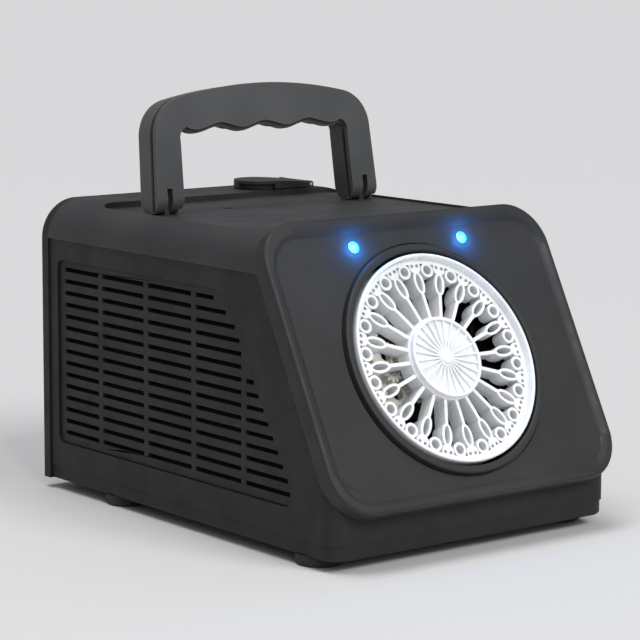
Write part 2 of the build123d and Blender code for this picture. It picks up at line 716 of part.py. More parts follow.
def lid_pin():
    return rod_y(LID_PIN_RADIUS, LID_FRONT + 0.3, LID_REAR - 0.3, LID_HINGE_X, LID_HINGE_Z)


def filler_funnel():
    """A funnel fixed under the filler hole, with a spout for the hose."""
    top = CASE_TOP - WALL
    rim = 11.4
    bowl = rod(rim, top - 2, top, NECK_X, NECK_Y)
    bowl += Pos(NECK_X, NECK_Y, top - 9) * Cone(5.5, rim, 14)
    bowl += rod(4, top - 26, top - 15, NECK_X, NECK_Y)
    bowl -= Pos(NECK_X, NECK_Y, top - 8) * Cone(3.2, NECK_RADIUS, 16.01)
    return bowl - rod(2.8, top - 27, top - 14, NECK_X, NECK_Y)


def fill_hose():
    """A flexible hose from the funnel, down the right-hand side and into the tank."""
    top = CASE_TOP - WALL - 17
    path = FilletPolyline(
        (NECK_X, NECK_Y, top),
        (NECK_X, NECK_Y, 98),
        (67, 60, 90),
        (67, -20, 28),
        (50, -34, 28),
        (50, -51.5, 28),
        radius=9,
    )
    start = Plane(origin=path @ 0, z_dir=path % 0)
    return sweep(start * Circle(5.4), path=path) - sweep(start * Circle(4.0), path=path)


def liquid_tank():
    """An open trough behind the wheel; a round well leads the wheel's edge into it."""
    front = -6.5
    trough = prism_x(
        Polygon(
            (-106.5, 12), (-106.5, 15.3), (-108, 15.3), (-108, 35),
            (-100.2, 50), (-52, 50), (-52, 12), align=None,
        ), -60, 60
    )
    trough = trough - FRONT * block(-120, 120, -80, 260, front, 120)
    trough += AXIS * rod(56.5, front - WALL, front)
    inside = prism_x(
        Polygon((-104, 14.5), (-104, 36), (-98, 53), (-54.5, 53), (-54.5, 14.5), align=None), -57.5, 57.5
    )
    trough -= inside - FRONT * block(-120, 120, -80, 260, front - WALL, 120)
    trough += AXIS * tube(53.0, WELL_RADIUS, front - WALL, -PANEL_FIELD)
    trough -= AXIS * rod(WELL_RADIUS, -60, 20)
    trough += rod(8, FOOT_HEIGHT, 14, 0, DRAIN_Y)
    trough -= rod(5, 0, 20, 0, DRAIN_Y)
    trough += rod_y(4, -53, -42, 50, 28)
    return trough - rod_y(2.8, -56, -40, 50, 28)


def drain_plug():
    plug = rod(5 - RUNNING_FIT, FOOT_HEIGHT, 14.5, 0, DRAIN_Y)
    head = rod(9, 2.0, FOOT_HEIGHT, 0, DRAIN_Y)
    head = fillet(head.edges().filter_by(GeomType.CIRCLE).group_by(Axis.Z)[0], 1.0)
    return plug + head - block(-1, 1, DRAIN_Y - 7, DRAIN_Y + 7, 1, 3.4)


# ---- bubble wheel and its drive ----

def wheel_lattice():
    """One round loop, one petal and its stem, repeated about the hub."""
    step = 360 / PETALS
    petal = Pos(PETAL_CENTRE, 0) * (Ellipse(5.7, 2.8) - Ellipse(4.4, 1.5))
    stem_inner = HUB_RADIUS - 1
    stem_outer = PETAL_CENTRE - 5
    stem = Pos((stem_inner + stem_outer) / 2, 0) * Rectangle(stem_outer - stem_inner, 1.7)
    bead = Pos(BEAD_CENTRE, 0) * Circle(3.3)
    half_turn = Rot(0, 0, step / 2)
    loop = half_turn * Pos(LOOP_CENTRE, 0) * Circle(3.5)
    hole = half_turn * Pos(LOOP_CENTRE, 0) * Circle(2.2)
    dots = [Pos(BEAD_CENTRE + 0.4, side) * Circle(0.85) for side in (-1.5, 1.5)]
    rim_inner = WHEEL_RADIUS - WHEEL_RIM
    band = Circle(rim_inner + 0.1) - Circle(rim_inner - 2.2)
    sector = petal + stem + bead + loop
    turns = [Rot(0, 0, step * index) for index in range(PETALS)]
    lattice = band + [turn * sector for turn in turns]
    cuts = [turn * hole for turn in turns] + [turn * dot for turn in turns for dot in dots]
    return lattice - cuts


def bubble_wheel():
    wheel = Pos(0, 0, WHEEL_BACK) * extrude(wheel_lattice(), LATTICE_FRONT - WHEEL_BACK)
    rim = tube(WHEEL_RADIUS, WHEEL_RADIUS - WHEEL_RIM, WHEEL_BACK, WHEEL_FRONT)
    rim = fillet(rim.edges().filter_by(GeomType.CIRCLE).group_by(Axis.Z)[-1], 0.7)
    wheel += rim
    wheel += tube(HUB_RADIUS, HUB_RADIUS - 1.6, WHEEL_BACK, HUB_FRONT)
    wheel += rod(HUB_RADIUS, HUB_FRONT - 2, HUB_FRONT)
    wheel += rod(5, WHEEL_BACK - 1.9, HUB_FRONT)
    return AXIS * (wheel - rod(SHAFT_RADIUS, -20, 20))


def wheel_hub_cap():
    """A ribbed disc that covers the end of the shaft."""
    cap = rod(19.2, 0, 1.0) + tube(19.2, 17.8, 1.0, 2.6)
    rib = block(3, 18.2, -0.45, 0.45, 1.0, 2.2)
    cap += [Rot(0, 0, 360 / HUB_RIBS * index) * rib for index in range(HUB_RIBS)]
    boss = rod(3.6, 1.0, 3.0)
    cap += fillet(boss.edges().filter_by(GeomType.CIRCLE).group_by(Axis.Z)[-1], 1.0)
    return AXIS * Pos(0, 0, HUB_FRONT) * cap


def gear_face(teeth, turn):
    """Involute gear outline with its first tooth centred on the angle turn."""
    pitch = MODULE * teeth / 2
    base = pitch * cos(radians(PRESSURE_ANGLE))
    tip = pitch + 0.8 * MODULE
    root = pitch - 1.05 * MODULE
    half_tooth = pi / (2 * teeth) - BACKLASH / (4 * pitch)

    def involute(radius):
        angle = acos(min(1.0, base / radius))
        return tan(angle) - angle

    def half_angle(radius):
        return half_tooth + involute(pitch) - involute(max(radius, base))

    def point(radius, angle):
        return (radius * cos(angle), radius * sin(angle))

    start = max(base, root)
    radii = [start + (tip - start) * step / 3 for step in range(4)]
    edges = []
    for tooth in range(teeth):
        centre = radians(turn) + 2 * pi * tooth / teeth
        rising = [point(r, centre - half_angle(r)) for r in radii]
        falling = [point(r, centre + half_angle(r)) for r in reversed(radii)]
        foot_in = point(root, centre - half_angle(root))
        foot_out = point(root, centre + half_angle(root))
        following = centre + 2 * pi / teeth
        next_foot = point(root, following - half_angle(root))
        if base > root:
            edges.append(Line(foot_in, rising[0]))
            edges.append(Line(falling[-1], foot_out))
        edges.append(Spline(*rising))
        edges.append(ThreePointArc(rising[-1], point(tip, centre), falling[0]))
        edges.append(Spline(*falling))
        edges.append(ThreePointArc(foot_out, point(root, centre + pi / teeth), next_foot))
    return make_face(edges)


def gear(teeth, turn, span):
    return Pos(0, 0, span[0]) * extrude(gear_face(teeth, turn), span[1] - span[0])


def along(distance, bearing):
    return (distance * cos(radians(bearing)), distance * sin(radians(bearing)))


def gear_centres():
    """Centres of gear two, gear one and the pinion about the wheel's axis."""
    wheel_gap = MODULE * (WHEEL_TEETH + SMALL_TEETH) / 2
    train_gap = MODULE * (LARGE_TEETH + SMALL_TEETH) / 2
    two = along(wheel_gap, GEAR_TWO_BEARING)
    step_one = along(train_gap, GEAR_ONE_BEARING)
    one = (two[0] + step_one[0], two[1] + step_one[1])
    step_pinion = along(train_gap, PINION_BEARING)
    return two, one, (one[0] + step_pinion[0], one[1] + step_pinion[1])


def gap_turn(teeth, bearing):
    """The turn that puts a gap, not a tooth, towards the gear before this one."""
    return bearing + 180 + 180 / teeth


def wheel_gear():
    wheel = gear(WHEEL_TEETH, GEAR_TWO_BEARING, LAYER_A)
    wheel += rod(5, LAYER_A[1], WHEEL_BACK - 1.9)
    wheel -= [Rot(0, 0, 60 * index) * rod(3.2, -20, -10, 11.0, 0) for index in range(6)]
    return AXIS * (wheel - rod(SHAFT_RADIUS, -30, 0))


def compound_gear(large_span, small_span, small_bearing, large_bearing, centre):
    """A large and a small gear moulded as one, turning on a fixed pin."""
    joined = (large_span[1], small_span[1])
    small = gear(SMALL_TEETH, gap_turn(SMALL_TEETH, small_bearing), joined)
    large = gear(LARGE_TEETH, large_bearing, large_span)
    large -= [Rot(0, 0, 72 * index) * rod(3.0, -40, 0, 10.0, 0) for index in range(5)]
    both = small + large - rod(GEAR_PIN_RADIUS + RUNNING_FIT, -40, 0)
    return AXIS * Pos(*centre, 0) * both


def reduction_gear_two():
    centre = gear_centres()[0]
    return compound_gear(LAYER_B, LAYER_A, GEAR_TWO_BEARING, GEAR_ONE_BEARING, centre)


def reduction_gear_one():
    centre = gear_centres()[1]
    return compound_gear(LAYER_C, LAYER_B, GEAR_ONE_BEARING, PINION_BEARING, centre)


def motor_pinion():
    centre = gear_centres()[2]
    pinion = gear(SMALL_TEETH, gap_turn(SMALL_TEETH, PINION_BEARING), (LAYER_C[0], LAYER_C[1] - 0.3))
    return AXIS * Pos(*centre, 0) * (pinion - rod(1.0, -40, 0))


def wheel_motor_shaft():
    centre = gear_centres()[2]
    return AXIS * Pos(*centre, 0) * rod(1.0, PLATE_BACK - 1.9, LAYER_C[1])


def wheel_motor():
    """A small can motor with two flats and a nose that passes through the plate."""
    centre = gear_centres()[2]
    can = rod(12, PLATE_BACK - 25, PLATE_BACK) & block(-12, 12, -9, 9, -80, 0)
    can = fillet(can.faces().sort_by(Axis.Z)[0].edges(), 1.0)
    can += rod(3, PLATE_BACK, PLATE_FRONT - 0.4) + rod(4, PLATE_BACK - 27, PLATE_BACK - 25)
    can -= rod(1.0 + RUNNING_FIT, PLATE_BACK - 2, 0)
    can -= [rod(1.0, PLATE_BACK - 5, 0, x, 0) for x in (-8, 8)]
    return AXIS * Pos(*centre, 0) * can


def motor_screws():
    centre = gear_centres()[2]
    small = rod(1.9, PLATE_FRONT, PLATE_FRONT + 1.0) + rod(0.95, PLATE_BACK - 4, PLATE_FRONT)
    return spaced(small, [AXIS * Pos(centre[0] + x, centre[1], 0) for x in (-8, 8)])


def gear_plate():
    """The plate that carries the gear pins, both motors' noses and the fan duct."""
    two, one, pinion = gear_centres()
    plate = Pos(0, 15, PLATE_BACK) * extrude(RectangleRounded(134, 70, 6), PLATE_FRONT - PLATE_BACK)
    for x, up in POSTS:
        plate += rod(POST_RADIUS, PLATE_FRONT, -12, x, up)
        plate -= rod(CLEAR_HOLE, -40, 0, x, up)
    for centre in (two, one):
        plate += rod(3, PLATE_FRONT, LAYER_C[0] - 0.3 if centre == one else LAYER_B[0] - 0.3, *centre)
        plate -= rod(GEAR_PIN_RADIUS, -40, 0, *centre)
    plate -= rod(NOZZLE_RADIUS + DUCT_WALL + 0.2, -40, 0, FAN_X, FAN_UP)
    for angle in (0, 120, 240):
        x, y = along(DUCT_SCREW_CIRCLE, angle)
        plate -= rod(PILOT, -40, 0, FAN_X + x, FAN_UP + y)
    plate -= rod(3.2, -40, 0, *pinion)
    plate -= [rod(1.1, -40, 0, pinion[0] + x, pinion[1]) for x in (-8, 8)]
    plate -= rod(4, -40, 0)
    plate -= Pos(-50, -8, PLATE_BACK - 1) * extrude(RectangleRounded(16, 12, 3), 6)
    return AXIS * plate


def plate_screws():
    return spaced(screw(24.0), [AXIS * Pos(x, up, PLATE_BACK) for x, up in POSTS])


def gear_pins():
    """Two pins fixed in the plate, each with a head that keeps its gear on."""
    two, one, _ = gear_centres()
    pins = []
    for centre, gear_front in ((two, LAYER_A[1]), (one, LAYER_B[1])):
        pin = rod(GEAR_PIN_RADIUS, PLATE_BACK, gear_front + 0.2, *centre)
        pins.append(AXIS * (pin + rod(2.6, gear_front + 0.2, gear_front + 0.9, *centre)))
    return pins


def wheel_shaft():
    return AXIS * rod(SHAFT_RADIUS, -34, HUB_FRONT)


def wheel_bush():
    bush = tube(4, SHAFT_RADIUS + RUNNING_FIT, PLATE_BACK - 1, PLATE_FRONT)
    return AXIS * (bush + tube(6, SHAFT_RADIUS + RUNNING_FIT, PLATE_FRONT, PLATE_FRONT + 1.2))


def shaft_clip():
    """A push-on ring that keeps the wheel's shaft from drawing out."""
    return AXIS * tube(4.5, SHAFT_RADIUS, PLATE_BACK - 2.4, PLATE_BACK - 1.4)


# ---- fan ----

def fan_place():
    return AXIS * Pos(FAN_X, FAN_UP, 0)


def duct_profile(shrink):
    """Half section of the duct's outside, drawn as (radius, distance)."""
    nozzle = NOZZLE_RADIUS + DUCT_WALL - shrink
    body = DUCT_RADIUS + DUCT_WALL - shrink
    return make_face(Polyline(
        (0, NOZZLE_FRONT), (nozzle, NOZZLE_FRONT), (nozzle, NOZZLE_BACK),
        (body, CONE_BACK), (body, DUCT_BACK), (0, DUCT_BACK), (0, NOZZLE_FRONT),
    ))


def fan_duct():
    duct = revolve(Plane.XZ * duct_profile(0.0), Axis.Z)
    duct += rod(24.4, NOZZLE_BACK, PLATE_BACK)
    duct += rod(34, DUCT_BACK, DUCT_BACK + 3) & star_flange()
    duct -= revolve(Plane.XZ * duct_profile(DUCT_WALL), Axis.Z)
    duct -= rod(NOZZLE_RADIUS, NOZZLE_FRONT - 1, 0)
    for angle in (0, 120, 240):
        duct -= rod(CLEAR_HOLE, NOZZLE_BACK - 4, 0, *along(DUCT_SCREW_CIRCLE, angle))
    for angle in (60, 180, 300):
        duct -= rod(PILOT, DUCT_BACK - 1, DUCT_BACK + 4, *along(SPIDER_SCREW_CIRCLE, angle))
    return fan_place() * (duct - rod(DUCT_RADIUS, DUCT_BACK - 1, DUCT_BACK + 4))


def star_flange():
    """A round flange with three ears for screws."""
    flange = rod(DUCT_RADIUS + DUCT_WALL, DUCT_BACK - 5, DUCT_BACK + 3)
    for angle in (60, 180, 300):
        flange += rod(4, DUCT_BACK - 5, DUCT_BACK + 3, *along(SPIDER_SCREW_CIRCLE - 1.5, angle))
    return flange


def fan_spider():
    """Ring, three arms and the cup that holds the fan motor."""
    back = DUCT_BACK - 3
    spider = (star_flange() & rod(36, back, DUCT_BACK)) - rod(DUCT_RADIUS, back - 1, DUCT_BACK + 1)
    spider += tube(FAN_MOTOR_RADIUS + 2, FAN_MOTOR_RADIUS, back - 8, DUCT_BACK)
    for angle in (60, 180, 300):
        spider += Rot(0, 0, angle) * block(FAN_MOTOR_RADIUS + 1, DUCT_RADIUS + 0.5, -2, 2, back, DUCT_BACK)
        spider -= rod(CLEAR_HOLE, back - 1, DUCT_BACK + 1, *along(SPIDER_SCREW_CIRCLE, angle))
    return fan_place() * spider


def duct_screws():
    front = [Pos(*along(DUCT_SCREW_CIRCLE, angle), NOZZLE_BACK) for angle in (0, 120, 240)]
    back = [Pos(*along(SPIDER_SCREW_CIRCLE, angle), DUCT_BACK - 3) for angle in (60, 180, 300)]
    return spaced(screw(5.5), [fan_place() * place for place in front + back])


def fan_motor():
    motor = rod(FAN_MOTOR_RADIUS, DUCT_BACK - 24, DUCT_BACK)
    motor = fillet(motor.edges().filter_by(GeomType.CIRCLE).group_by(Axis.Z)[0], 1.0)
    motor += rod(3, DUCT_BACK, DUCT_BACK + 1.5) + rod(3.5, DUCT_BACK - 26, DUCT_BACK - 24)
    return fan_place() * (motor - rod(1.0 + RUNNING_FIT, DUCT_BACK - 3, 0))


def fan_shaft():
    return fan_place() * rod(1.0, DUCT_BACK - 2.9, DUCT_BACK + 16)


def fan_impeller():
    """Seven pitched blades about a cup-shaped hub."""
    low = DUCT_BACK + 3
    high = DUCT_BACK + 16
    hub = rod(8, low, high) - rod(6.6, low - 1, high - 3)
    hub += rod(2.4, low, high)
    blade = Pos(16, 0, (low + high) / 2) * Rot(38, 0, 0) * Box(20, 1.2, 17)
    blade &= tube(FAN_RADIUS, 7.2, low + 0.5, high - 0.5)
    fan = hub + [Rot(0, 0, 360 / 7 * index) * blade for index in range(7)]
    return fan_place() * (fan - rod(1.0, low - 1, high + 1))


# ---- lights and electrics ----

def led_lenses():
    lens = rod(LED_RADIUS, -4.5, -1.2) + rod(LED_RADIUS + 1.5, -5.7, -4.5)
    lens += Pos(0, 0, -4.0) * (Sphere(4.2) & rod(LED_RADIUS, 0, 6))
    return spaced(lens, [FRONT * Pos(sign * LED_X, LED_UP, 0) for sign in (-1, 1)])


def led_emitters():
    emitter = block(-2.5, 2.5, -2.5, 2.5, -10.4, -9.2) + rod(1.9, -9.2, -8.6)
    return spaced(emitter, [FRONT * Pos(sign * LED_X, LED_UP, 0) for sign in (-1, 1)])


def led_board():
    board = Pos(0, LED_UP, -12) * extrude(RectangleRounded(84, 13, 2), 1.6)
    board -= [rod(CLEAR_HOLE, -20, 0, x, LED_UP) for x in (-20, 20)]
    return FRONT * board


def led_board_screws():
    return spaced(screw(5.0), [FRONT * Pos(x, LED_UP, -12) for x in (-20, 20)])


def battery_box():
    outer = block(-BOX_HALF, BOX_HALF, BOX_FRONT, CASE_REAR - WALL, BOX_BOTTOM, BOX_TOP)
    inner = block(-BOX_HALF + 2, BOX_HALF - 2, BOX_FRONT + 2, CASE_REAR, BOX_BOTTOM + 2, BOX_TOP - 2)
    box = outer - inner
    for x in (-36, 36):
        for y in (90, 110):
            box += rod(3, BOX_TOP, BOX_TOP + 4, x, y)
            box -= rod(PILOT, BOX_TOP + 0.5, BOX_TOP + 5, x, y)
    lug = DOOR_HALF + DOOR_GAP
    for sign in (-1, 1):
        lug_x = beside(sign, lug - 0.2, lug + 5)
        box -= block(*lug_x, COVER_FRONT - 1, 130, BOX_BOTTOM - 1, DOOR_HINGE_Z + 4)
    box -= block(-DOOR_HALF - 1, DOOR_HALF + 1, COVER_FRONT - 1, 130, BOX_BOTTOM - 1, BOX_BOTTOM + 7.2)
    box -= block(-DOOR_HALF - 1, DOOR_HALF + 1, CASE_REAR - 6, 130, BOX_BOTTOM + 1, BOX_TOP - 2)
    return box


def battery_cells():
    cells = []
    for z in CELL_LEVELS:
        for x in (-CELL_X, CELL_X):
            cell = rod_x(CELL_RADIUS, x - CELL_LENGTH / 2 + 1, x + CELL_LENGTH / 2 - 1.5, CELL_Y, z)
            cell += rod_x(3.2, x - CELL_LENGTH / 2 + 1, x + CELL_LENGTH / 2, CELL_Y, z)
            cells.append(cell)
    return cells


def battery_contacts():
    """A flat plate at each end of each row, with a raised contact or a spring."""
    contacts = []
    for z in CELL_LEVELS:
        right = block(BOX_HALF - 2.6, BOX_HALF - 2, CELL_Y - 7, CELL_Y + 7, z - 8, z + 8)
        right += rod_x(3.0, CELL_X + CELL_LENGTH / 2, BOX_HALF - 2.6, CELL_Y, z)
        contacts.append(right)
        left = block(-BOX_HALF + 2, -BOX_HALF + 2.6, CELL_Y - 7, CELL_Y + 7, z - 8, z + 8)
        upward = (Align.CENTER, Align.CENTER, Align.MIN)
        coil = Cone(6.0, 4.0, 3.4, align=upward) - Cone(5.2, 3.2, 3.5, align=upward)
        contacts.append(left + Pos(-BOX_HALF + 2.6, CELL_Y, z) * Rot(0, 90, 0) * coil)
    return contacts


def battery_door():
    """A flush door whose lower edge is the barrel of its own hinge."""
    door = block(-DOOR_HALF, DOOR_HALF, CASE_REAR - WALL, CASE_REAR, DOOR_HINGE_Z, DOOR_TOP)
    door += rod_x(DOOR_BARREL, -DOOR_HALF, DOOR_HALF, DOOR_HINGE_Y, DOOR_HINGE_Z)
    rib = block(0, 2, CASE_REAR - WALL - 1.6, CASE_REAR - WALL, DOOR_HINGE_Z + 6, DOOR_TOP - 6)
    door += [Pos(x, 0, 0) * rib for x in (-41, -21, -1, 19, 39)]
    for row in range(5):
        z = DOOR_TOP - 6 - row * 2.4
        door -= block(-9, 9, CASE_REAR - 0.8, CASE_REAR + 1, z - 0.6, z + 0.6)
    return door - rod_x(1.0 + RUNNING_FIT, -DOOR_HALF - 1, DOOR_HALF + 1, DOOR_HINGE_Y, DOOR_HINGE_Z)


def battery_door_pin():
    return rod_x(1.0, -DOOR_HALF - 2.9, DOOR_HALF + 2.9, DOOR_HINGE_Y, DOOR_HINGE_Z)


def switch_frame():
    """The fixed surround and body of the rocker switch."""
    low = CONTROL_Z - 11.5
    high = CONTROL_Z + 11.5
    frame = block(SWITCH_X - 8.5, SWITCH_X + 8.5, CASE_REAR, CASE_REAR + 1.6, low, high)
    frame = chamfer(frame.faces().sort_by(Axis.Y)[-1].edges(), 0.8)
    frame += block(SWITCH_X - 6.5, SWITCH_X + 6.5, 101, CASE_REAR, CONTROL_Z - 9.7, CONTROL_Z + 9.7)
    frame -= block(SWITCH_X - 5.0, SWITCH_X + 5.0, 104, 130, CONTROL_Z - 8.8, CONTROL_Z + 8.8)
    return frame - rod_x(1.2, SWITCH_X - 6.1, SWITCH_X + 6.1, ROCKER_Y, CONTROL_Z)


def power_rocker():
    """A rocker that tips about a short pin; its face is a shallow V."""
    face = Polygon((-3, -7), (-3, 7), (8.0, 7.2), (6.2, 0), (8.0, -7.2), align=None)
    rocker = prism_x(Pos(ROCKER_Y, CONTROL_Z) * face, SWITCH_X - 4.8, SWITCH_X + 4.8)
    return rocker + rod_x(1.15, SWITCH_X - 6.0, SWITCH_X + 6.0, ROCKER_Y, CONTROL_Z)


def power_socket():
    """A round jack for the power lead, with its collar outside the cover."""
    place = Pos(SOCKET_X, 0, CONTROL_Z)
    socket = rod_y(7, CASE_REAR, CASE_REAR + 1.4, 0, 0) + rod_y(4.5, CASE_REAR - 8, CASE_REAR, 0, 0)
    socket += block(-6, 6, 104, CASE_REAR - WALL - 0.5, -6, 6)
    socket -= rod_y(3.0, 106, 130, 0, 0)
    return place * (socket + rod_y(1.0, 105, CASE_REAR - 1, 0, 0))


def control_board():
    top = BOX_TOP + 4
    board = Pos(0, 100, top) * extrude(RectangleRounded(82, 28, 2), 1.6)
    for x in (-36, 36):
        for y in (90, 110):
            board -= rod(CLEAR_HOLE, top - 1, top + 3, x, y)
    board += block(-12, 0, 94, 106, top + 1.6, top + 3.2)
    board += block(10, 22, 92, 97, top + 1.6, top + 8)
    board += block(26, 30, 104, 112, top + 1.6, top + 6)
    return board + rod(4, top + 1.6, top + 12, -24, 100) + rod(2.5, top + 1.6, top + 9, 14, 106)


def board_screws():
    places = [Pos(x, y, BOX_TOP + 5.6) * Rot(180, 0, 0) for x in (-36, 36) for y in (90, 110)]
    return spaced(screw(4.5), places)


def cable(*points):
    """A round cable along a smooth path."""
    path = Spline(*points)
    start = Plane(origin=path @ 0, z_dir=path % 0)
    return sweep(start * Circle(1.1), path=path)


def wiring():
    """Cables from the board to the switch, socket, lights and both motors."""
    pinion = gear_centres()[2]
    motor = (AXIS * Pos(*pinion, PLATE_BACK - 28.5)).position
    fan = (fan_place() * Pos(0, 0, DUCT_BACK - 27.5)).position
    light = (FRONT * Pos(-36, LED_UP, -13.3)).position
    board = BOX_TOP + 7.4
    return [
        cable((-30, 88, board), (-34, 70, 84), (-40, 20, 80), tuple(motor)),
        cable((0, 88, board), (6, 66, 76), (20, 36, 62), tuple(fan)),
        cable((-38, 94, board), (-52, 70, 96), (-50, 0, 116), (-46, -30, 122), tuple(light)),
        cable((-38, 104, board), (-50, 101, 82), (-56, 98, 94), (-56, 99.8, 103)),
        cable((38, 104, board), (50, 101, 82), (57, 98, 94), (58, 102.8, 103)),
    ]


# ---- case screws ----

def top_screws():
    places = [Pos(s * SCREW_SIDE, y, SHOULDER - 7) for s in (-1, 1) for y in TOP_SCREWS_Y]
    return spaced(screw(16.0), places)


def base_screws():
    places = [Pos(s * SCREW_SIDE, y, FOOT_HEIGHT + 5) for s in (-1, 1) for y in BASE_SCREWS_Y]
    return spaced(screw(10.0), places)


def rear_screws():
    return spaced(screw(9.5), [Pos(x, CASE_REAR - 4, z) * Rot(90, 0, 0) for x, z in REAR_SCREWS])


def panel_screws():
    places = [FRONT * Pos(s * SCREW_SIDE, up, -15) for s in (-1, 1) for up in PANEL_SCREWS_UP]
    return spaced(screw(9.0), places)


PARTS = {
    "top_shell": top_shell,
    "side_housing": side_housing,
    "base_tray": base_tray,
    "rear_cover": rear_cover,
    "front_panel": front_panel,
    "wheel_collar": wheel_collar,
    "side_grille_left": lambda: side_grille(-1),
    "side_grille_right": lambda: side_grille(1),
    "rubber_feet": rubber_feet,
    "handle_front": handle_front,
    "handle_rear": handle_rear,
    "handle_screws": handle_screws,
    "handle_pivots": handle_pivots,
    "filler_lid": filler_lid,
    "lid_seal": lid_seal,
    "lid_pin": lid_pin,
    "filler_funnel": filler_funnel,
    "fill_hose": fill_hose,
    "liquid_tank": liquid_tank,
    "drain_plug": drain_plug,
    "bubble_wheel": bubble_wheel,
    "wheel_hub_cap": wheel_hub_cap,
    "wheel_shaft": wheel_shaft,
    "wheel_gear": wheel_gear,
    "shaft_clip": shaft_clip,
    "wheel_bush": wheel_bush,
    "reduction_gear_two": reduction_gear_two,
    "reduction_gear_one": reduction_gear_one,
    "motor_pinion": motor_pinion,
    "wheel_motor_shaft": wheel_motor_shaft,
    "wheel_motor": wheel_motor,
    "motor_screws": motor_screws,
    "gear_plate": gear_plate,
    "gear_pins": gear_pins,
    "plate_screws": plate_screws,
    "fan_duct": fan_duct,
    "fan_spider": fan_spider,
    "duct_screws": duct_screws,
    "fan_motor": fan_motor,
    "fan_shaft": fan_shaft,
    "fan_impeller": fan_impeller,
    "led_lenses": led_lenses,
    "led_emitters": led_emitters,
    "led_board": led_board,
    "led_board_screws": led_board_screws,
    "battery_box": battery_box,
    "battery_cells": battery_cells,
    "battery_contacts": battery_contacts,
    "battery_door": battery_door,
    "battery_door_pin": battery_door_pin,
    "switch_frame": switch_frame,
    "power_rocker": power_rocker,
    "power_socket": power_socket,
    "control_board": control_board,
    "board_screws": board_screws,
    "wiring": wiring,
    "top_screws": top_screws,
    "base_screws": base_screws,
    "rear_screws": rear_screws,
    "panel_screws": panel_screws,
}


os.makedirs("parts", exist_ok=True)
for name, build in PARTS.items():
    shape = build()
    if isinstance(shape, list):
        shape = Compound(children=shape)
    export_step(shape, f"parts/{name}.step")
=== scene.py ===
import json
import math

import bmesh
import bpy
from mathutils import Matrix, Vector


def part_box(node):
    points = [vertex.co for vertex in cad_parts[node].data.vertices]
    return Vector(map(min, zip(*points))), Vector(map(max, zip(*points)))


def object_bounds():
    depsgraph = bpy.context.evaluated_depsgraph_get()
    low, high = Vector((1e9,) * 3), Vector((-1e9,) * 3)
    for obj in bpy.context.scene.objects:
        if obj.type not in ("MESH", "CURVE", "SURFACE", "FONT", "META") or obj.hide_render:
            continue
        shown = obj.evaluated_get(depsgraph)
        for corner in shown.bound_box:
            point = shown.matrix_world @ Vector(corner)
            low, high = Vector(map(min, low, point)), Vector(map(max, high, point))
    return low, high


# The looks of the portable bubble machine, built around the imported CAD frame. Metres; +Z is up
# and the sloping front with the wheel faces -Y.

MM = 0.001

WELD_GAP = 0.002 * MM           # corners this close are one corner
SHARP_ANGLE = math.radians(32)  # edges that turn by more than this are rounded
BEVEL_STEPS = 3

FLOOR_HALF = 30.0               # half the floor's side, far enough to look endless
FLOOR_DROP = 0.2 * MM           # keeps the floor just clear of the rubber feet
FLOOR_TONE = (0.62, 0.62, 0.62)
SKY_TONE = (0.75, 0.75, 0.75, 1)
FILL_TINT = (0.93, 0.95, 1.0, 1)
FILL_STRENGTH = 0.34

LENS_FLANGE = 4.5 * MM          # the radius of a lens's flange
GLOW_AHEAD = 6 * MM             # how far the glow stands off the lens
GLOW_RADIUS = 1.5 * MM
GLOW_POWER = 0.050
GLOW_BLUE = (0.02, 0.28, 1.0)

CAMERA_PLACE = (-0.753, -0.938, 0.274)
CAMERA_PITCH = math.radians(90 - 8.65)
CAMERA_YAW = math.radians(-36.8)
CAMERA_LENS = 142
CAMERA_SENSOR = 36
CAMERA_SHIFT = 0.128
CAMERA_NEAR = 0.05
CAMERA_FAR = 50

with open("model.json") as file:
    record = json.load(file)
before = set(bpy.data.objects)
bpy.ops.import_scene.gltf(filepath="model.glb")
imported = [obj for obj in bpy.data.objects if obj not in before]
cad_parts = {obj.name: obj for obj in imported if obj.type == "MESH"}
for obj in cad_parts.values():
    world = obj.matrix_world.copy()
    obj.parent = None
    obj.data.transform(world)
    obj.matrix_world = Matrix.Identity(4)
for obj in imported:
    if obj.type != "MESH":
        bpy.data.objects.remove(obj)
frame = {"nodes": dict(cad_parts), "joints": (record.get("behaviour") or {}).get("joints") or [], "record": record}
cad_low, cad_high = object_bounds()
nodes = frame["nodes"]
joints = {joint["name"]: joint for joint in frame["joints"]}
slots = {part["node"]: part["material_slot"] for part in frame["record"]["subparts"]}


# ---- node helpers ----

